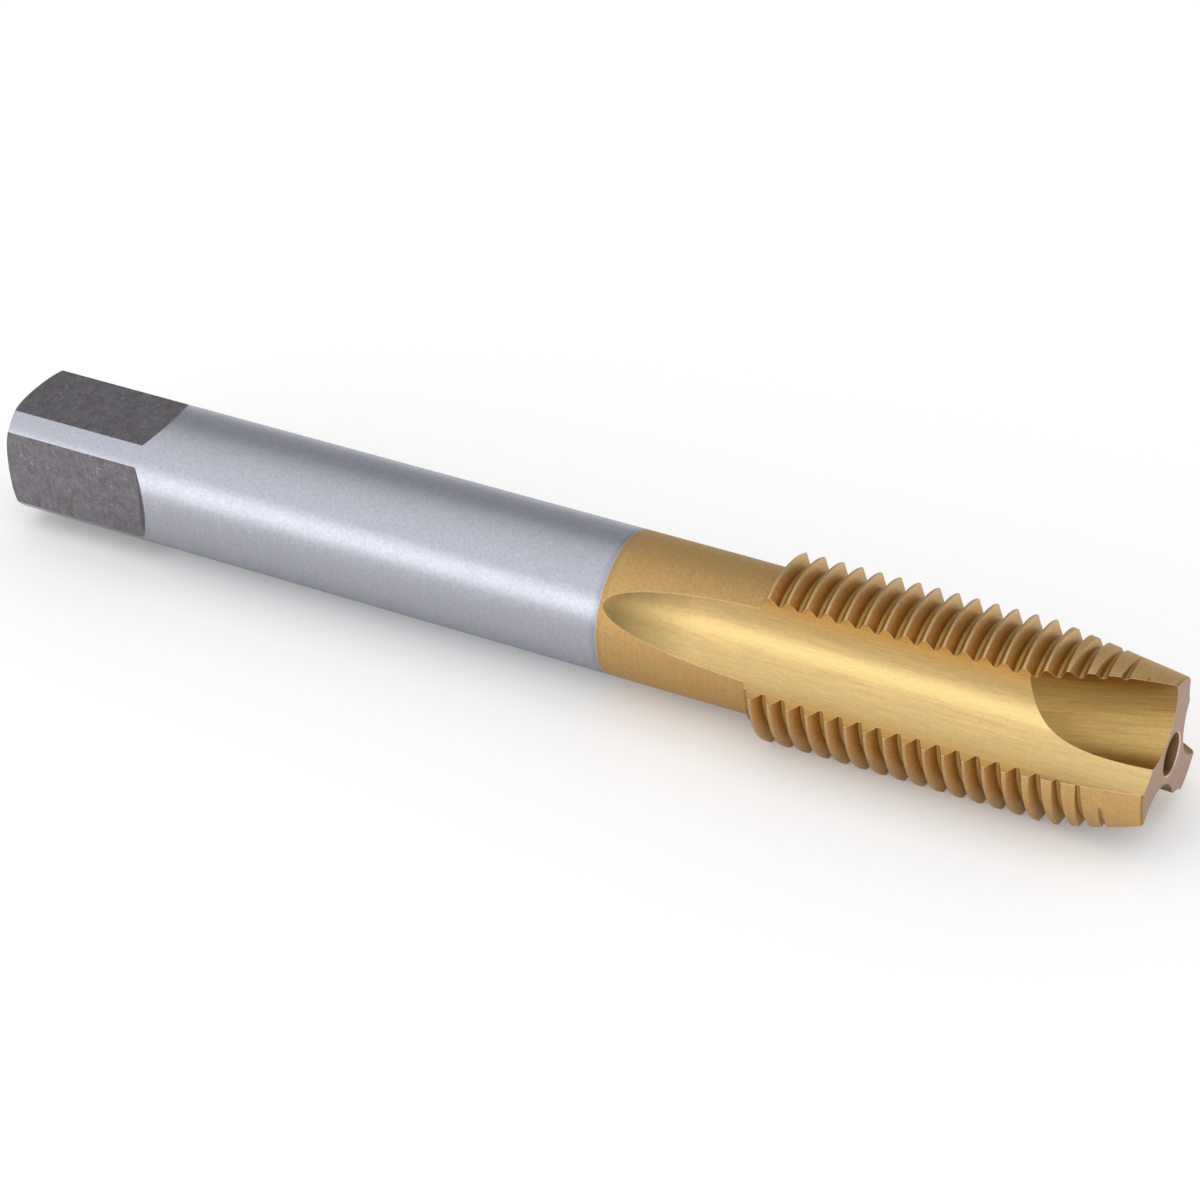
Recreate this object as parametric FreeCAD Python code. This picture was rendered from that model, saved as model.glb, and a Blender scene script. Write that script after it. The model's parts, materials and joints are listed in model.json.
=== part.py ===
import FreeCAD, Part
import math
import os

from FreeCAD import Vector

# Machine tap M14 x 1.5 with a spiral point, ground from one bar. Millimetres and degrees.
# The tool is built upright: the square's end face at z = 0, the cutting tip at z = LENGTH,
# angles round the axis from x towards y. The finished tool is then laid along X, tip forward.

# Bar and shank
LENGTH = 95.0
SHANK_DIAMETER = 11.1
END_FACE_DIAMETER = 8.9
END_CROWN_LENGTH = 0.42
END_CROWN_BULGE = 0.04

# Driving square
SQUARE_ACROSS_FLATS = 9.0
SQUARE_LENGTH = 12.25
SQUARE_TURN = 2.0
SQUARE_RUNOUT_ANGLE = 41.0

# Thread, right hand, 60 degree form
MAJOR_DIAMETER = 14.0
PITCH = 1.5
FLANK_ANGLE = 30.0
CREST_FLAT = PITCH / 8
ROOT_DIAMETER = 12.16
THREAD_LENGTH = 30.0
SHOULDER_LENGTH = 0.7
CREST_ANGLE = 118.0
CREST_FROM_TIP = 1.01
GROOVE_OVERRUN = 0.15
GROOVE_SPAN = 100.0

# Flutes, three straight ones, each with the round-bottomed section of its grinding wheel
FLUTE_COUNT = 3
FIRST_FLUTE_ANGLE = 30.0
FLUTE_SECTION_RADIUS = 4.28
FLUTE_CENTRE_DISTANCE = 8.1
FLUTE_STRAIGHT_LENGTH = 27.4
FLUTE_RUNOUT_LENGTH = 17.0
WHEEL_TRACK_RADIUS = 58.4

# Lead taper, with the relief that makes each land fall away behind its cutting edge
LEAD_TIP_DIAMETER = 11.6
LEAD_ANGLE = 8.1
LEAD_REACH = 12.0
RELIEF_OFFSET = 0.52
TIP_BEVEL = 0.15

# Spiral point, a slanting round groove at the cutting face of each flute
POINT_SECTION_RADIUS = 3.4
POINT_CENTRE_DISTANCE = 5.1
POINT_CENTRE_OFFSET = 2.29
POINT_SKEW_ANGLE = 10.3
POINT_DEPTH_ANGLE = 14.7
POINT_REACH = 13.0

# Centre holes, a 60 degree seat with a pilot hole behind it
CENTRE_SEAT_ANGLE = 30.0
CENTRE_RIM_BEVEL = 0.08
DRILL_POINT_ANGLE = 31.0
TIP_CENTRE_DIAMETER = 3.2
TIP_PILOT_DIAMETER = 1.6
TIP_PILOT_DEPTH = 3.6
SHANK_CENTRE_DIAMETER = 4.25
SHANK_PILOT_DIAMETER = 2.0
SHANK_PILOT_DEPTH = 4.6

# Room that a cutter takes beyond the surface it passes
CLEAR = 2.0

SHANK_RADIUS = SHANK_DIAMETER / 2
MAJOR_RADIUS = MAJOR_DIAMETER / 2
ROOT_RADIUS = ROOT_DIAMETER / 2
AXIS = Vector(0, 0, 1)
ORIGIN = Vector(0, 0, 0)


def tangent(angle):
    return math.tan(math.radians(angle))


def flat_face(points):
    """A plane face in the xz plane from (x, z) corners."""
    corners = [Vector(x, 0, z) for x, z in points]
    return Part.Face(Part.makePolygon(corners + corners[:1]))


def turned(points):
    """The solid that an (x, z) outline makes when it is turned about the axis."""
    return flat_face(points).revolve(ORIGIN, AXIS, 360)


def at_angles(cutter, angles):
    """Copies of a cutter made at angle 0, turned about the axis."""
    copies = []
    for angle in angles:
        copy = cutter.copy()
        copy.rotate(ORIGIN, AXIS, angle)
        copies.append(copy)
    return copies


def blank():
    """The turned bar: crowned end, shank, and the larger thread section behind its shoulder."""
    shoulder = LENGTH - THREAD_LENGTH - SHOULDER_LENGTH / 2
    face_rim = Vector(END_FACE_DIAMETER / 2, 0, 0)
    shank_rim = Vector(SHANK_RADIUS, 0, END_CROWN_LENGTH)
    middle = (face_rim + shank_rim) * 0.5 + Vector(END_CROWN_BULGE, 0, -END_CROWN_BULGE)
    crown = Part.Arc(face_rim, middle, shank_rim).toShape()
    outline = Part.makePolygon([
        shank_rim,
        Vector(SHANK_RADIUS, 0, shoulder),
        Vector(MAJOR_RADIUS, 0, shoulder + SHOULDER_LENGTH),
        Vector(MAJOR_RADIUS, 0, LENGTH),
        Vector(0, 0, LENGTH),
        ORIGIN,
        face_rim,
    ])
    return Part.Face(Part.Wire([crown] + outline.Edges)).revolve(ORIGIN, AXIS, 360)


def square_cutters():
    """What is milled off each side of the shank, with the sloping run-out at its inner end."""
    flat = SQUARE_ACROSS_FLATS / 2
    outside = SHANK_RADIUS + CLEAR
    run = (outside - flat) / tangent(SQUARE_RUNOUT_ANGLE)
    side = flat_face([
        (flat, -CLEAR),
        (flat, SQUARE_LENGTH),
        (outside, SQUARE_LENGTH + run),
        (outside, -CLEAR),
    ])
    side.translate(Vector(0, -outside, 0))
    cutter = side.extrude(Vector(0, 2 * outside, 0))
    return at_angles(cutter, [SQUARE_TURN + 90 * i for i in range(4)])


def groove_piece():
    """One groove of the thread across one land, a short helical sweep centred on angle 0 and z = 0."""
    outside = MAJOR_RADIUS + GROOVE_OVERRUN
    mouth = (PITCH - CREST_FLAT) / 2 + GROOVE_OVERRUN * tangent(FLANK_ANGLE)
    root = mouth - (outside - ROOT_RADIUS) * tangent(FLANK_ANGLE)
    corners = [(outside, -mouth), (ROOT_RADIUS, -root), (ROOT_RADIUS, root), (outside, mouth)]
    section = Part.makePolygon([Vector(x, 0, z) for x, z in corners + corners[:1]])
    path = Part.makeHelix(PITCH, PITCH * GROOVE_SPAN / 360, ROOT_RADIUS)
    sweep = Part.BRepOffsetAPI.MakePipeShell(path)
    sweep.setFrenetMode(True)
    sweep.add(section)
    sweep.build()
    sweep.makeSolid()
    piece = sweep.shape()
    piece.rotate(ORIGIN, AXIS, -GROOVE_SPAN / 2)
    piece.translate(Vector(0, 0, -PITCH * GROOVE_SPAN / 720))
    return piece


def thread_grooves(lands):
    """All turns of the right-hand helix, land by land, from the tip to behind the shoulder."""
    turns = math.ceil(THREAD_LENGTH / PITCH) + 2
    piece = groove_piece()
    grooves = []
    for land in lands:
        first = LENGTH - CREST_FROM_TIP + PITCH * (1.5 + (land - CREST_ANGLE) / 360)
        for turn in range(turns):
            groove = piece.copy()
            groove.rotate(ORIGIN, AXIS, land)
            groove.translate(Vector(0, 0, first - PITCH * turn))
            grooves.append(groove)
    return grooves


def flute_cutter():
    """The straight flute of one wheel pass and the long curve along which the wheel lifts out."""
    wheel_stop = LENGTH - FLUTE_STRAIGHT_LENGTH
    middle = Vector(FLUTE_CENTRE_DISTANCE, 0, wheel_stop)
    section = Part.Face(Part.Wire(Part.makeCircle(FLUTE_SECTION_RADIUS, middle, AXIS)))
    straight = section.extrude(Vector(0, 0, FLUTE_STRAIGHT_LENGTH + CLEAR))
    wheel_centre = middle + Vector(WHEEL_TRACK_RADIUS, 0, 0)
    turn = math.degrees(math.asin(FLUTE_RUNOUT_LENGTH / WHEEL_TRACK_RADIUS))
    run_out = section.revolve(wheel_centre, Vector(0, -1, 0), turn)
    return straight.fuse(run_out)


def point_cutter():
    """The slanting groove of the spiral point, deepest at the tip and at the cutting face."""
    slope = Vector(-tangent(POINT_DEPTH_ANGLE), -tangent(POINT_SKEW_ANGLE), 1)
    at_tip = Vector(POINT_CENTRE_DISTANCE, -POINT_CENTRE_OFFSET, LENGTH)
    start = at_tip - slope * POINT_REACH
    length = slope.Length * (POINT_REACH + CLEAR)
    return Part.makeCylinder(POINT_SECTION_RADIUS, length, start, slope)


def lead_cutter():
    """What the taper takes off one land, from the middle of one flute to the middle of the next."""
    land = 360 / FLUTE_COUNT
    base = Vector(0, 0, LENGTH - LEAD_REACH)
    sector = Part.makeCylinder(MAJOR_RADIUS + CLEAR, LEAD_REACH + CLEAR, base, AXIS, land)
    sector.rotate(ORIGIN, AXIS, -land / 2)
    tip = LEAD_TIP_DIAMETER / 2
    kept = turned([
        (0, base.z),
        (tip + LEAD_REACH * tangent(LEAD_ANGLE), base.z),
        (tip + TIP_BEVEL * tangent(LEAD_ANGLE), LENGTH - TIP_BEVEL),
        (tip - TIP_BEVEL, LENGTH),
        (tip - TIP_BEVEL - CLEAR, LENGTH + CLEAR),
        (0, LENGTH + CLEAR),
    ])
    kept.translate(Vector(0, RELIEF_OFFSET, 0))
    return sector.cut(kept)


def centre_hole(face, inward, seat_diameter, pilot_diameter, depth):
    """A centre hole in an end face at z = face, going the way of the sign inward."""
    seat = seat_diameter / 2
    pilot = pilot_diameter / 2
    outline = [
        (0, -CLEAR),
        (seat + CENTRE_RIM_BEVEL, -CLEAR),
        (seat + CENTRE_RIM_BEVEL, 0),
        (seat, CENTRE_RIM_BEVEL),
        (pilot, CENTRE_RIM_BEVEL + (seat - pilot) / tangent(CENTRE_SEAT_ANGLE)),
        (pilot, depth),
        (0, depth + pilot * tangent(DRILL_POINT_ANGLE)),
    ]
    return turned([(x, face + inward * z) for x, z in outline])


def tap():
    spacing = 360 / FLUTE_COUNT
    flutes = [FIRST_FLUTE_ANGLE + spacing * i for i in range(FLUTE_COUNT)]
    lands = [angle + spacing / 2 for angle in flutes]
    shape = blank().cut(at_angles(flute_cutter(), flutes))
    shape = shape.cut(at_angles(lead_cutter(), lands))
    shape = shape.cut(at_angles(point_cutter(), flutes))
    shape = shape.cut(thread_grooves(lands))
    shape = shape.cut(square_cutters())
    tip_hole = centre_hole(LENGTH, -1, TIP_CENTRE_DIAMETER, TIP_PILOT_DIAMETER, TIP_PILOT_DEPTH)
    end_hole = centre_hole(0, 1, SHANK_CENTRE_DIAMETER, SHANK_PILOT_DIAMETER, SHANK_PILOT_DEPTH)
    return shape.cut([tip_hole, end_hole])


def resting_height():
    """Height of the axis when the thread lies on the two edges of the lowest flute."""
    reach = FLUTE_CENTRE_DISTANCE ** 2 + MAJOR_RADIUS ** 2 - FLUTE_SECTION_RADIUS ** 2
    return reach / (2 * FLUTE_CENTRE_DISTANCE)


def laid_down(shape):
    """Turned so that the tool's z, x and y become X, Y and Z, and set on the ground plane."""
    lie = FreeCAD.Rotation(Vector(1, 1, 1), 120)
    shape.Placement = FreeCAD.Placement(Vector(-LENGTH / 2, 0, resting_height()), lie)
    return shape


os.makedirs("parts", exist_ok=True)
finished = laid_down(tap())
print("valid", finished.isValid(), "solids", len(finished.Solids), "volume", round(finished.Volume, 1))
print("box", finished.BoundBox)
finished.Solids[0].exportStep("parts/tap.step")
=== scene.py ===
import json
import math

import bmesh
import bpy
from mathutils import Matrix, Vector

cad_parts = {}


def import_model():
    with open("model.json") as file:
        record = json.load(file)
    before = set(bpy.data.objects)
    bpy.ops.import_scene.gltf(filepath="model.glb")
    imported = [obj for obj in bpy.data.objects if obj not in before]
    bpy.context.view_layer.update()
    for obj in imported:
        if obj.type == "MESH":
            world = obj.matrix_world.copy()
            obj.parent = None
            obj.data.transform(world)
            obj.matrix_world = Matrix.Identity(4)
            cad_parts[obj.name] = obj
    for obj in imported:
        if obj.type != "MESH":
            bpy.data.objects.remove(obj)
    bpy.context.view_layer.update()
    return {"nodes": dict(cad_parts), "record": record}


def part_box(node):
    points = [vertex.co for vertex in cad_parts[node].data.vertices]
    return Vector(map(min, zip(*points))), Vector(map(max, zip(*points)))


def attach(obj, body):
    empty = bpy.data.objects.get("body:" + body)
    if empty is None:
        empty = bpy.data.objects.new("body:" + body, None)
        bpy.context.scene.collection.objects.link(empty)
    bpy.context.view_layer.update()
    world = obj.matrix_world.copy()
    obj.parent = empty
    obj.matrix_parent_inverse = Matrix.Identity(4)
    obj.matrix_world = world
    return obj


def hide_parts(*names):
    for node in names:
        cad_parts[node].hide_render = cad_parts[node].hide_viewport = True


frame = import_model()

# Places from the frame, in metres
MOUNTS = {mount["name"]: mount for mount in frame["record"]["mounts"]}
AXIS_HEIGHT = MOUNTS["shank"]["pos_m"][2]
LOW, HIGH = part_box("tap")

# Lengths from here on are millimetres and angles are degrees
MM = 0.001
LENGTH = (HIGH.x - LOW.x) / MM

# Where surfaces end, measured from the cutting tip, and the domed edge at the square's end
COATING_LENGTH = 42.36
THREAD_LENGTH = 30.4
FLUTE_STRAIGHT_LENGTH = 27.4
SQUARE_START = 81.0
CROWN_LENGTH = 0.5

# Flutes: a round section that runs straight and then lifts out along the wheel's curve
FLUTE_COUNT = 3
FLUTE_SPACING = 360 / FLUTE_COUNT
FIRST_FLUTE_ANGLE = 30.0
FLUTE_SECTION_RADIUS = 4.28
FLUTE_CENTRE_DISTANCE = 8.1
WHEEL_TRACK_RADIUS = 58.4
WHEEL_PIVOT_DISTANCE = FLUTE_CENTRE_DISTANCE + WHEEL_TRACK_RADIUS

# Spiral point: a round section that slants across each flute
POINT_SECTION_RADIUS = 3.4
POINT_CENTRE_DISTANCE = 5.1
POINT_CENTRE_OFFSET = 2.29
POINT_SKEW_ANGLE = 10.3
POINT_DEPTH_ANGLE = 14.7

# Thread and its tapered lead
ROOT_RADIUS = 6.08
MAJOR_RADIUS = 7.0
LEAD_ANGLE = 8.1
RELIEF_OFFSET = 0.52

# Driving square and the holes in both ends
SQUARE_TURN = 2.0
SQUARE_HALF = 4.5
HOLE_RADIUS = 2.3
TIP_HOLE_DEPTH = 6.0
SHANK_HOLE_DEPTH = 8.0

# Slack for a point that lies on a surface, and how alike two unit directions have to be
NEAR = 0.05
ALIKE = 0.75

# Limits for the parts of a face's direction: towards the tip, or away from the axis
TAPERED = 0.08
STRAIGHT = 0.05
TIP_FACING = 0.98
BACK_FACING = -0.2
OUTWARD_FACING = 0.93
HOLE_LENGTHWAYS = 0.95
HOLE_OUTWARD = 0.5

# Repair of the copied mesh, the angles from which an edge is crisp, and how much edges are broken
MERGE_DISTANCE = 0.0005
SLIVER_LENGTH = 0.0002
CRISP_ANGLE = 18.0
CRISP_BORDER_ANGLE = 6.0
EDGE_ROUNDING = 0.08
THREAD_ROUNDING = 0.03

# Grinding marks on turned, wheel-ground and milled surfaces: repeats per millimetre along and across
ALONG = 0.08
ACROSS = 7.0
WHEEL_ALONG = 0.22
WHEEL_ACROSS = 5.0
MILLED_ALONG = 0.45
MILLED_ACROSS = 5.0
POINT_MARKS_SHIFT = 7.0

# Noise: its scale on the grinding marks, its repeats per metre elsewhere, and the values it mostly has
COARSE_SCALE = 1.0
THIN_SCALE = 4.0
CLOUD_SCALE = 1500.0
SPECK_SCALE = 4500.0
FLAT_CLOUD_SCALE = 900.0
FLAT_GLINT_SCALE = 3200.0
WOBBLE_SCALE = 900.0
NOISE_SPAN = (0.3, 0.7)

# Gloss, and rubbed edges with a painted highlight: spans of a noise and what they give, and the match of a
# broken edge's direction
GLOSS_NOISE = (0.25, 0.75)
GLOSS_FACTORS = (0.85, 1.2)
CHIP_AND_HIGHLIGHT_NOISE = (0.35, 0.6)
CHIP_AND_HIGHLIGHT_SHARES = (0.55, 1.0)
EDGE_MATCH = (0.99, 0.90)
BEVEL_SAMPLES = 8
MARK_DEPTH = 0.02

# Tones beside the coating's end: spans of the distance from the tip in which each comes in
FRINGE_SPAN = (COATING_LENGTH - 0.5, COATING_LENGTH - 0.05)
LINE_SPAN = (COATING_LENGTH - 0.06, COATING_LENGTH)
STEEL_SPAN = (COATING_LENGTH + 0.02, COATING_LENGTH + 0.07)
CLEAN_STEEL_SPAN = (COATING_LENGTH + 0.1, COATING_LENGTH + 0.6)
STEEL_EDGE_SPAN = (COATING_LENGTH, COATING_LENGTH + 0.05)
STEEL_GLOSS_SPAN = (COATING_LENGTH, COATING_LENGTH + 0.1)
FRINGE_SHARE = 0.55
COATING_WOBBLE = 0.05
COATED_ROUGHNESS = 0.58
STEEL_ROUGHNESS = 0.34

# Other tones: spans of the distance from the tip or from the axis, and of a noise on the flats
# Olive tone and painted shade where the flutes lift out
OLIVE_SHADE_SPAN = (35.0, 41.0)
RIM_SPAN = (0.06, 0.12)
# Painted shade inside the centre hole: from just inside its rim to where it is darkest
DEEP_SHADE_SPAN = (0.1, 0.7)
# Painted light on the spiral point: pale near the axis, its own dark gold further out
POINT_LIGHT_SPAN = (2.4, 3.6)
# Painted shade in the thread's grooves: from the root's radius out to the crests'
FLANK_SHADE_SPAN = (ROOT_RADIUS, MAJOR_RADIUS)
BROWN_NOISE = (0.42, 0.60)
GLINT_NOISE = (0.62, 0.72)
GLINT_SHARE = 0.8

# Metal colours
STEEL = (0.462, 0.472, 0.525)
STEEL_FRINGE = (0.37, 0.385, 0.43)
END_STEEL = (0.36, 0.355, 0.37)
FLAT_STEEL = (0.25, 0.238, 0.26)
FLAT_GLINT = (0.42, 0.41, 0.43)
FLAT_BROWN = (0.205, 0.182, 0.192)
GOLD = (0.58, 0.375, 0.155)
FLUTE_GOLD = (0.67, 0.475, 0.205)
# Olive, darkened by painted shade, where the flutes lift out
OLIVE_SHADED_GOLD = (0.25, 0.175, 0.065)
LAND_GOLD = (0.66, 0.43, 0.18)
POINT_GOLD = (0.345, 0.215, 0.068)
# Pale gold of the painted light on the spiral point
POINT_INNER_LIT_GOLD = (0.54, 0.36, 0.13)
# The roots' dark gold is painted shade in the thread's grooves
ROOT_SHADE_GOLD = (0.43, 0.255, 0.075)
FLANK_GOLD = (0.76, 0.50, 0.235)
CREST_GOLD = (0.58, 0.40, 0.19)
TIP_GOLD = (0.48, 0.325, 0.24)
# The centre hole's gold, darkened by painted shade and darkest deep inside
BORE_SHADE_GOLD = (0.21, 0.115, 0.048)
DEEP_SHADE_GOLD = (0.07, 0.036, 0.014)
# Edge colours: a painted highlight on the broken edges, which also stands for rubbed coating
EDGE_GOLD = (0.86, 0.72, 0.56)
EDGE_STEEL = (0.72, 0.72, 0.74)
COATING_LINE = (0.58, 0.50, 0.41)
COATING_FRINGE = (0.44, 0.29, 0.13)

# Studio light that the metal shows, by height round the tool's axis: degrees up from the front, level
STUDIO_BANDS = (
    (0, 0.95),
    (25, 0.95),
    (55, 0.82),
    (80, 0.70),
    (100, 0.60),
    (118, 0.48),
    (138, 0.37),
    (158, 0.46),
    (180, 0.60),
)
STUDIO_TINT = (0.97, 0.985, 1.0)
PLAIN_LEVEL = 0.86
WHITE = (1, 1, 1, 1)
SOFTBOX_DISTANCE = 900.0

# Floor
FLOOR_SIZE = 6000.0
FLOOR_COLOUR = (0.82, 0.82, 0.82, 1)
FLOOR_GLOW = 0.17

# Camera, round a point on the tool's axis
CAMERA_TARGET = (2.6, 0.0, 5.4)
CAMERA_DISTANCE = 282.5
CAMERA_AZIMUTH = -61.48
CAMERA_ELEVATION = 33.60
CAMERA_ROLL = -1.02
CAMERA_LENS = 114.42
CAMERA_SENSOR = 36.0
CAMERA_NEAREST = 10.0
CAMERA_FARTHEST = 20000.0

# The colour sockets of a Mix node, by number because their names repeat
MIX_FIRST, MIX_SECOND, MIX_RESULT = 6, 7, 2


def tangent(angle):
    return math.tan(math.radians(angle))


def turned(y, z, angle):
    """Two coordinates across the axis, read along directions turned by an angle."""
    turn = math.radians(angle)
    return y * math.cos(turn) + z * math.sin(turn), z * math.cos(turn) - y * math.sin(turn)


def flute_angle(flute):
    return FIRST_FLUTE_ANGLE + flute * FLUTE_SPACING


def place(point):
    """A point as distance from the tip and its two coordinates across the axis."""
    return (HIGH.x - point.x) / MM, point.y / MM, (point.z - AXIS_HEIGHT) / MM


def in_flute(point, flute):
    """The same in the frame of one flute: distance from the tip, outwards, sideways."""
    depth, y, z = place(point)
    return Vector((depth, *turned(y, z, flute_angle(flute))))


def flute_distance(spot):
    """How far a spot in a flute's frame is from the line that the wheel's section followed."""
    depth, out, side = spot
    if depth < FLUTE_STRAIGHT_LENGTH:
        return math.hypot(out - FLUTE_CENTRE_DISTANCE, side)
    reach = math.hypot(depth - FLUTE_STRAIGHT_LENGTH, WHEEL_PIVOT_DISTANCE - out)
    return math.hypot(reach - WHEEL_TRACK_RADIUS, side)


def in_point_cut(spot):
    """A spot in a flute's frame as the way along the spiral point's cut and what is left across it."""
    slope = Vector((1, tangent(POINT_DEPTH_ANGLE), tangent(POINT_SKEW_ANGLE))).normalized()
    start = Vector((0, POINT_CENTRE_DISTANCE, -POINT_CENTRE_OFFSET))
    along = (spot - start).dot(slope)
    return along, spot - start - slope * along


def on_one_flat(corners):
    """Whether the corners of a face all lie on the same flat of the square."""
    pairs = [turned(*place(corner)[1:], SQUARE_TURN) for corner in corners]
    return any(
        all(abs(sign * pair[axis] - SQUARE_HALF) < NEAR for pair in pairs)
        for axis in (0, 1) for sign in (-1, 1)
    )


def lead_facing(y, z):
    """The direction of the tapered lead, whose axis lies beside the tool's for the relief."""
    turn = math.degrees(math.atan2(z, y)) - FIRST_FLUTE_ANGLE
    land = math.radians(flute_angle(math.floor(turn / FLUTE_SPACING) + 0.5))
    away = Vector((0, y + RELIEF_OFFSET * math.sin(land), z - RELIEF_OFFSET * math.cos(land))).normalized()
    lead = math.radians(LEAD_ANGLE)
    return away * math.cos(lead) + Vector((math.sin(lead), 0, 0))


def wheel_facing(flute, point, kind):
    """The way from a point of a ground hollow to the line that its section followed."""
    spot = in_flute(point, flute)
    if kind == "point":
        inward = -in_point_cut(spot)[1]
    elif spot.x < FLUTE_STRAIGHT_LENGTH:
        inward = Vector((0, FLUTE_CENTRE_DISTANCE - spot.y, -spot.z))
    else:
        pivot = Vector((FLUTE_STRAIGHT_LENGTH, WHEEL_PIVOT_DISTANCE, 0))
        spoke = Vector((spot.x, spot.y, 0)) - pivot
        inward = pivot + spoke.normalized() * WHEEL_TRACK_RADIUS - spot
    return Vector((-inward.x, *turned(inward.y, inward.z, -flute_angle(flute))))


def facing(kind, flute, point, flat_normal):
    """The true direction of the surface at a point of a face, or none where the mesh's own serves."""
    y, z = place(point)[1:]
    if kind in ("flute", "point"):
        return wheel_facing(flute, point, kind).normalized()
    if kind == "land":
        return lead_facing(y, z).normalized()
    if kind in ("crest", "root") or (kind == "shank" and abs(flat_normal.x) < STRAIGHT):
        return Vector((0, y, z)).normalized()
    return None


def in_end_hole(face, depth, radius, outward):
    """Whether a face belongs to the wall of the hole in one of the ends."""
    at_end = depth < TIP_HOLE_DEPTH or depth > LENGTH - SHANK_HOLE_DEPTH
    wall = outward < HOLE_OUTWARD and abs(face.normal.x) < HOLE_LENGTHWAYS
    return at_end and wall and radius < HOLE_RADIUS


def square_region(face, depth, corners):
    """The kind of surface at the square: its domed end, a flat with its run-out, or the shank."""
    backward = face.normal.x < BACK_FACING
    if backward and depth > LENGTH - CROWN_LENGTH:
        return "end"
    return "flat" if backward or on_one_flat(corners) else "shank"


def hollow_region(face, centre, corners):
    """The kind of ground hollow that a face belongs to and its flute, or none."""
    for flute in range(FLUTE_COUNT):
        spots = [in_flute(corner, flute) for corner in corners]
        hollows = (
            ("point", POINT_SECTION_RADIUS, [in_point_cut(spot)[1].length for spot in spots]),
            ("flute", FLUTE_SECTION_RADIUS, [flute_distance(spot) for spot in spots]),
        )
        for kind, radius, distances in hollows:
            ground = all(abs(distance - radius) < NEAR for distance in distances)
            if ground and face.normal.dot(wheel_facing(flute, centre, kind)) > ALIKE * radius:
                return kind, flute
    return None


def land_region(face, outward, corners):
    """The kind of surface on a land: a flank, the tapered lead, a root or a crest."""
    if outward <= OUTWARD_FACING:
        return "thread"
    if face.normal.x > TAPERED:
        return "land"
    deep = all(abs(math.hypot(*place(corner)[1:]) - ROOT_RADIUS) < NEAR for corner in corners)
    return "root" if deep else "crest"


def region(face):
    """The kind of surface a face belongs to, and the flute it lies in."""
    centre = face.calc_center_median()
    depth, y, z = place(centre)
    radius = math.hypot(y, z)
    outward = (face.normal.y * y + face.normal.z * z) / max(radius, NEAR)
    corners = [corner.co for corner in face.verts]
    if in_end_hole(face, depth, radius, outward):
        return ("bore" if depth < LENGTH / 2 else "end"), 0
    if face.normal.x > TIP_FACING and depth < NEAR:
        return "tip", 0
    if depth > SQUARE_START:
        return square_region(face, depth, corners), 0
    hollow = hollow_region(face, centre, corners)
    if hollow:
        return hollow
    if depth > THREAD_LENGTH:
        return "shank", 0
    return land_region(face, outward, corners), 0


def grain(kind, flute, point):
    """Where a point lies in the pattern of the grinding marks on its kind of surface."""
    depth, y, z = place(point)
    if kind == "flute":
        return depth * WHEEL_ALONG, y * WHEEL_ACROSS, z * WHEEL_ACROSS
    if kind == "point":
        along, rest = in_point_cut(in_flute(point, flute))
        return along * WHEEL_ALONG + POINT_MARKS_SHIFT, rest.y * WHEEL_ACROSS, rest.z * WHEEL_ACROSS
    if kind == "flat":
        return depth * MILLED_ACROSS, y * MILLED_ALONG, z * MILLED_ALONG
    if kind in ("tip", "end"):
        return math.hypot(y, z) * ACROSS, y * ALONG, z * ALONG
    return depth * ACROSS, y * ALONG, z * ALONG


def new_material(name):
    """An empty material and its tree of nodes."""
    material = bpy.data.materials.new(name)
    material.use_nodes = True
    material.node_tree.nodes.clear()
    return material, material.node_tree


def add(tree, kind, values=None, **settings):
    """A node of a tree, with settings as attributes and values or links for its inputs."""
    node = tree.nodes.new("ShaderNode" + kind)
    for key, setting in settings.items():
        setattr(node, key, setting)
    for key, value in (values or {}).items():
        if isinstance(value, bpy.types.NodeSocket):
            tree.links.new(value, node.inputs[key])
        else:
            node.inputs[key].default_value = value
    return node


def ramp(tree, value, span, results=(0.0, 1.0)):
    """A value carried from one span over to another, and held beyond both ends."""
    limits = {"From Min": span[0], "From Max": span[1], "To Min": results[0], "To Max": results[1]}
    return add(tree, "MapRange", {"Value": value, **limits}).outputs["Result"]


def noise(tree, vector, scale, detail, rough):
    """A noise pattern over a place."""
    node = add(tree, "TexNoise", {"Vector": vector, "Scale": scale, "Detail": detail, "Roughness": rough})
    return node.outputs["Fac"]


def spread(tree, pattern, strength):
    """A noise pattern as a factor that varies round one."""
    return ramp(tree, pattern, NOISE_SPAN, (1 - strength, 1 + strength))


def product(tree, first, second):
    return add(tree, "Math", {0: first, 1: second}, operation="MULTIPLY").outputs[0]


def tinted(tree, colour, factor):
    """A colour, as values or a link, made lighter or darker by a factor."""
    scale = add(tree, "VectorMath", {0: colour, "Scale": factor}, operation="SCALE")
    return scale.outputs["Vector"]


def mixed(tree, factor, first, second):
    """Two colours, as values or links, mixed by a factor."""
    node = add(tree, "Mix", {"Factor": factor}, data_type="RGBA")
    for socket, value in ((MIX_FIRST, first), (MIX_SECOND, second)):
        if isinstance(value, bpy.types.NodeSocket):
            tree.links.new(value, node.inputs[socket])
        else:
            node.inputs[socket].default_value = (*value, 1)
    return node.outputs[MIX_RESULT]


def fade(tree, value, span, first, second, share=1.0):
    """The first colour before a span of a value, the second, or a share of it, after the span."""
    return mixed(tree, ramp(tree, value, span, (0.0, share)), first, second)


def worked_out(tree, spot, setting):
    """A setting itself, or what it gives at a place where it is a function."""
    return setting(tree, spot) if callable(setting) else setting


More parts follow.
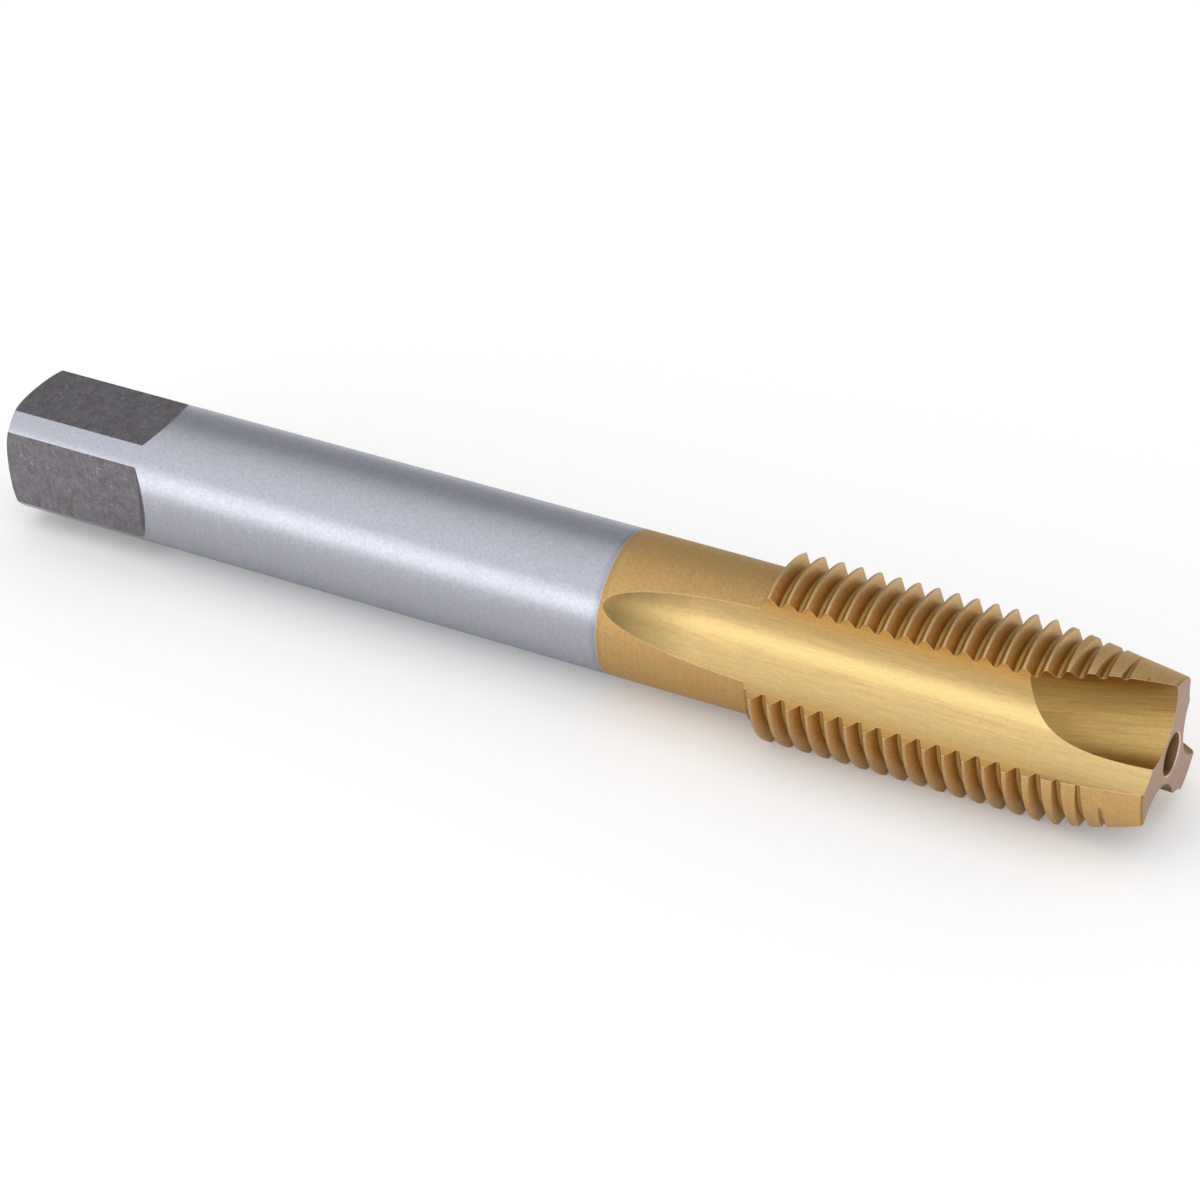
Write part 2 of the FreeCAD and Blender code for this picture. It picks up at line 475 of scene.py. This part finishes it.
def broken_and_lit_edges(tree, rounding, worn_and_lit):
    """The surface's direction with its edges broken, and how strongly they show as rubbed and get a
    painted highlight.
    """
    rounded = add(tree, "Bevel", {"Radius": rounding * MM}, samples=BEVEL_SAMPLES).outputs["Normal"]
    plain = add(tree, "NewGeometry").outputs["Normal"]
    match = add(tree, "VectorMath", {0: rounded, 1: plain}, operation="DOT_PRODUCT").outputs["Value"]
    return rounded, ramp(tree, match, EDGE_MATCH, (0.0, worn_and_lit))


def metal(
    name, colour, roughness, streak, blotch, bump, worn_and_lit,
    grit=0.04, edge=EDGE_GOLD, rounding=EDGE_ROUNDING,
):
    """A ground metal: colour and gloss vary along the grinding marks, edges catch the light and get a
    painted highlight.
    """
    material, tree = new_material(name)
    marks = add(tree, "Attribute", attribute_name="grain").outputs["Vector"]
    spot = add(tree, "TexCoord").outputs["Object"]
    coarse = noise(tree, marks, COARSE_SCALE, detail=4.0, rough=0.6)
    thin = noise(tree, marks, THIN_SCALE, detail=3.0, rough=0.6)
    cloud = noise(tree, spot, CLOUD_SCALE, detail=4.0, rough=0.7)
    speck = noise(tree, spot, SPECK_SCALE, detail=2.0, rough=0.6)
    streaks = product(tree, spread(tree, coarse, streak), spread(tree, thin, streak / 2))
    clouds = product(tree, spread(tree, cloud, blotch), spread(tree, speck, grit))
    ground = tinted(tree, worked_out(tree, spot, colour), product(tree, streaks, clouds))
    rounded, edge_wear_and_highlight = broken_and_lit_edges(tree, rounding, worn_and_lit)
    # The edge colour is a painted highlight that also stands for rubbed coating, broken up by a noise
    chipped_wear_and_highlight = product(tree, edge_wear_and_highlight, ramp(tree, cloud, CHIP_AND_HIGHLIGHT_NOISE, CHIP_AND_HIGHLIGHT_SHARES))
    shade = mixed(tree, chipped_wear_and_highlight, ground, worked_out(tree, spot, edge))
    gloss = ramp(tree, coarse, GLOSS_NOISE, GLOSS_FACTORS)
    rough = product(tree, gloss, worked_out(tree, spot, roughness))
    relief = {"Strength": bump, "Distance": MARK_DEPTH * MM, "Height": thin, "Normal": rounded}
    normal = add(tree, "Bump", relief).outputs["Normal"]
    values = {"Base Color": shade, "Metallic": 1.0, "Roughness": rough, "Normal": normal}
    surface = add(tree, "BsdfPrincipled", values).outputs[0]
    add(tree, "OutputMaterial", {"Surface": surface})
    return material


def from_tip(tree, spot):
    """Distance from the cutting tip, in millimetres."""
    along = add(tree, "SeparateXYZ", {0: spot}).outputs["X"]
    return ramp(tree, along, (HIGH.x, LOW.x), (0.0, LENGTH))


def from_axis(tree, spot):
    """Distance from the tool's axis, in millimetres."""
    shift = {0: spot, 1: (0, 0, -AXIS_HEIGHT)}
    centred = add(tree, "VectorMath", shift, operation="ADD").outputs["Vector"]
    flatten = {0: centred, 1: (0, 1 / MM, 1 / MM)}
    across = add(tree, "VectorMath", flatten, operation="MULTIPLY").outputs["Vector"]
    return add(tree, "VectorMath", {0: across}, operation="LENGTH").outputs["Value"]


def shank_colour(tree, spot):
    """Gold with a dark fringe and a bright line at its end, then steel that starts a little darker."""
    pattern = noise(tree, spot, WOBBLE_SCALE, detail=2.0, rough=0.55)
    wobble = ramp(tree, pattern, NOISE_SPAN, (-COATING_WOBBLE, COATING_WOBBLE))
    reach = add(tree, "Math", {0: from_tip(tree, spot), 1: wobble}, operation="ADD").outputs[0]
    gold = fade(tree, reach, FRINGE_SPAN, GOLD, COATING_FRINGE, FRINGE_SHARE)
    line = fade(tree, reach, LINE_SPAN, gold, COATING_LINE)
    steel = fade(tree, reach, CLEAN_STEEL_SPAN, STEEL_FRINGE, STEEL)
    return fade(tree, reach, STEEL_SPAN, line, steel)


def shank_edge(tree, spot):
    """The bright edges of the coating and of the bare steel: a painted highlight that also stands for
    rubbed edges.
    """
    return fade(tree, from_tip(tree, spot), STEEL_EDGE_SPAN, EDGE_GOLD, EDGE_STEEL)


def shank_roughness(tree, spot):
    """The bare steel is glossier than the coating."""
    return ramp(tree, from_tip(tree, spot), STEEL_GLOSS_SPAN, (COATED_ROUGHNESS, STEEL_ROUGHNESS))


def flat_colour(tree, spot):
    """Dark milled steel with brownish clouds and small glints."""
    cloud = noise(tree, spot, FLAT_CLOUD_SCALE, detail=6.0, rough=0.75)
    glint = noise(tree, spot, FLAT_GLINT_SCALE, detail=3.0, rough=0.6)
    clouded = fade(tree, cloud, BROWN_NOISE, FLAT_STEEL, FLAT_BROWN)
    return fade(tree, glint, GLINT_NOISE, clouded, FLAT_GLINT, GLINT_SHARE)


def flute_colour_with_shade(tree, spot):
    """Pale gold that turns olive where the wheel lifts out, darkened there by painted shade."""
    return fade(tree, from_tip(tree, spot), OLIVE_SHADE_SPAN, FLUTE_GOLD, OLIVE_SHADED_GOLD)


def thread_colour_with_shade(tree, spot):
    """Painted shade: dark at the root of the thread, pale towards its crests."""
    return fade(tree, from_axis(tree, spot), FLANK_SHADE_SPAN, ROOT_SHADE_GOLD, FLANK_GOLD)


def point_colour_with_light(tree, spot):
    """Dark gold, with painted light that turns it pale towards the middle of the tool."""
    return fade(tree, from_axis(tree, spot), POINT_LIGHT_SPAN, POINT_INNER_LIT_GOLD, POINT_GOLD)


def bore_colour_with_shade(tree, spot):
    """Pale at the rim of the centre hole in the edges' painted highlight, dark inside it with painted
    shade.
    """
    depth = from_tip(tree, spot)
    inside = fade(tree, depth, DEEP_SHADE_SPAN, BORE_SHADE_GOLD, DEEP_SHADE_GOLD)
    return fade(tree, depth, RIM_SPAN, EDGE_GOLD, inside)


MATERIALS = {
    "shank": metal(
        "ground_shank", shank_colour, roughness=shank_roughness,
        streak=0.012, blotch=0.02, bump=0.05, worn_and_lit=0.6, grit=0.09, edge=shank_edge,
    ),
    "flat": metal(
        "milled_flats", flat_colour, roughness=0.42,
        streak=0.14, blotch=0.08, bump=0.3, worn_and_lit=0.2, grit=0.12, edge=EDGE_STEEL,
    ),
    "end": metal(
        "turned_end", END_STEEL, roughness=0.38,
        streak=0.08, blotch=0.05, bump=0.15, worn_and_lit=0.3, edge=EDGE_STEEL,
    ),
    "land": metal(
        "coated_lands", LAND_GOLD, roughness=0.54,
        streak=0.06, blotch=0.04, bump=0.15, worn_and_lit=0.9, grit=0.08, rounding=THREAD_ROUNDING,
    ),
    "crest": metal(
        "coated_crests", CREST_GOLD, roughness=0.42,
        streak=0.04, blotch=0.06, bump=0.1, worn_and_lit=0.85, grit=0.08, rounding=THREAD_ROUNDING,
    ),
    # Roots: dark gold that is painted shade in the thread's grooves
    "root": metal(
        "coated_roots", ROOT_SHADE_GOLD, roughness=0.38,
        streak=0.04, blotch=0.04, bump=0.1, worn_and_lit=0.0, rounding=THREAD_ROUNDING,
    ),
    "thread": metal(
        "coated_thread", thread_colour_with_shade, roughness=0.36,
        streak=0.05, blotch=0.05, bump=0.1, worn_and_lit=0.7, grit=0.10, rounding=THREAD_ROUNDING,
    ),
    "flute": metal(
        "coated_flutes", flute_colour_with_shade, roughness=0.36,
        streak=0.09, blotch=0.02, bump=0.45, worn_and_lit=0.8,
    ),
    "point": metal(
        "coated_spiral_point", point_colour_with_light, roughness=0.34,
        streak=0.15, blotch=0.03, bump=0.4, worn_and_lit=0.8,
    ),
    "tip": metal(
        "coated_tip_face", TIP_GOLD, roughness=0.42,
        streak=0.05, blotch=0.05, bump=0.15, worn_and_lit=0.8, grit=0.06,
    ),
    "bore": metal(
        "coated_centre_hole", bore_colour_with_shade, roughness=0.36,
        streak=0.08, blotch=0.05, bump=0.1, worn_and_lit=0.9,
    ),
}


def dress_faces(work, kinds):
    """Each face gets its material and its grinding marks; the corners' true directions come back."""
    marks = work.loops.layers.float_vector.new("grain")
    ways = []
    for face in work.faces:
        kind, flute = region(face)
        ways.extend(facing(kind, flute, corner.co, face.normal) for corner in face.verts)
        face.material_index = kinds.index(kind)
        face.smooth = True
        for loop in face.loops:
            loop[marks] = grain(kind, flute, loop.vert.co)
    return ways


def sort_edges(work):
    """An edge is crisp where its faces meet at an angle, and sooner where they differ in kind."""
    for edge in work.edges:
        angle = math.degrees(edge.calc_face_angle(0))
        faces = edge.link_faces
        border = len(faces) == 2 and faces[0].material_index != faces[1].material_index
        edge.smooth = angle < (CRISP_BORDER_ANGLE if border else CRISP_ANGLE)


def dressed_tap():
    """The tool's own surface, dressed region by region."""
    mesh = frame["nodes"]["tap"].data.copy()
    mesh.name = "tap_surface"
    mesh.materials.clear()
    for material in MATERIALS.values():
        mesh.materials.append(material)
    work = bmesh.new()
    work.from_mesh(mesh)
    bmesh.ops.remove_doubles(work, verts=work.verts, dist=MERGE_DISTANCE * MM)
    bmesh.ops.dissolve_degenerate(work, edges=work.edges, dist=SLIVER_LENGTH * MM)
    work.normal_update()
    ways = dress_faces(work, list(MATERIALS))
    sort_edges(work)
    work.to_mesh(mesh)
    work.free()
    own = [corner.vector.copy() for corner in mesh.corner_normals]
    mesh.normals_split_custom_set([way or found for way, found in zip(ways, own)])
    tap = bpy.data.objects.new("dressed_tap", mesh)
    bpy.context.scene.collection.objects.link(tap)
    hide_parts("tap")
    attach(tap, "root")


def floor():
    """A large pale floor that keeps the tool's soft shadow and is white to the camera."""
    material, tree = new_material("pale_floor")
    matte = add(tree, "BsdfDiffuse", {"Color": FLOOR_COLOUR}).outputs[0]
    glow = add(tree, "Emission", {"Color": WHITE, "Strength": FLOOR_GLOW}).outputs[0]
    lit = add(tree, "AddShader", {0: matte, 1: glow}).outputs[0]
    seen = add(tree, "LightPath").outputs["Is Camera Ray"]
    surface = add(tree, "MixShader", {0: seen, 1: matte, 2: lit}).outputs[0]
    add(tree, "OutputMaterial", {"Surface": surface})
    bpy.ops.mesh.primitive_plane_add(size=FLOOR_SIZE * MM, location=(0, 0, LOW.z))
    ground = bpy.context.object
    ground.name = "floor"
    ground.data.materials.append(material)


def seen_directly(tree):
    """One for rays from the camera and from shiny surfaces, else nought."""
    path = add(tree, "LightPath")
    rays = {0: path.outputs["Is Camera Ray"], 1: path.outputs["Is Glossy Ray"]}
    return add(tree, "Math", rays, operation="MAXIMUM").outputs[0]


def studio_light(tree):
    """The studio's colour in a direction, by its height round the tool's axis."""
    way = add(tree, "SeparateXYZ", {0: add(tree, "TexCoord").outputs["Generated"]})
    front = product(tree, way.outputs["Y"], -1.0)
    height = add(tree, "Math", {0: way.outputs["Z"], 1: front}, operation="ARCTAN2").outputs[0]
    bands = add(tree, "ValToRGB", {"Fac": ramp(tree, height, (0.0, math.pi))})
    stops = bands.color_ramp.elements
    stops.remove(stops[1])
    for angle, level in STUDIO_BANDS:
        stop = stops.new(angle / 180) if angle else stops[0]
        stop.color = (level, level, level, 1)
    colours = {0: bands.outputs["Color"], 1: STUDIO_TINT}
    return add(tree, "VectorMath", colours, operation="MULTIPLY").outputs["Vector"]


def world():
    """A pale studio: the metal shows it in soft bands, brightest low in front of the tool."""
    sky = bpy.data.worlds.new("studio")
    bpy.context.scene.world = sky
    sky.use_nodes = True
    tree = sky.node_tree
    tree.nodes.clear()
    studio = add(tree, "Background", {"Color": studio_light(tree)}).outputs[0]
    plain = add(tree, "Background", {"Color": WHITE, "Strength": PLAIN_LEVEL}).outputs[0]
    light = add(tree, "MixShader", {0: seen_directly(tree), 1: plain, 2: studio}).outputs[0]
    add(tree, "OutputWorld", {"Surface": light})


def softbox(name, way, width, height, level):
    """A flat lamp that faces the tool from one direction, by its size and brightness."""
    data = bpy.data.lights.new(name, "AREA")
    data.shape = "RECTANGLE"
    data.size = width * MM
    data.size_y = height * MM
    data.energy = level * math.pi * data.size * data.size_y
    lamp = bpy.data.objects.new(name, data)
    bpy.context.scene.collection.objects.link(lamp)
    lamp.location = Vector(way).normalized() * SOFTBOX_DISTANCE * MM
    lamp.rotation_euler = Vector(way).to_track_quat("Z", "Y").to_euler()


def camera():
    """A long lens that looks down on the tool from the front and the tip."""
    data = bpy.data.cameras.new("camera")
    data.lens = CAMERA_LENS
    data.sensor_width = CAMERA_SENSOR
    data.clip_start = CAMERA_NEAREST * MM
    data.clip_end = CAMERA_FARTHEST * MM
    eye = bpy.data.objects.new("camera", data)
    bpy.context.scene.collection.objects.link(eye)
    azimuth = math.radians(CAMERA_AZIMUTH)
    elevation = math.radians(CAMERA_ELEVATION)
    away = Vector((
        math.cos(azimuth) * math.cos(elevation),
        math.sin(azimuth) * math.cos(elevation),
        math.sin(elevation),
    ))
    level = away.to_track_quat("Z", "Y").to_matrix().to_4x4()
    roll = Matrix.Rotation(math.radians(CAMERA_ROLL), 4, "Z")
    spot = Vector(CAMERA_TARGET) * MM + away * CAMERA_DISTANCE * MM
    eye.matrix_world = Matrix.Translation(spot) @ level @ roll
    bpy.context.scene.camera = eye


dressed_tap()
floor()
world()
softbox("front_softbox", way=(-0.40, -0.89, 0.235), width=1200, height=420, level=1.2)
softbox("top_softbox", way=(-0.1, -0.25, 1.0), width=1300, height=1300, level=0.35)
camera()

bpy.context.scene.view_settings.view_transform = "Standard"
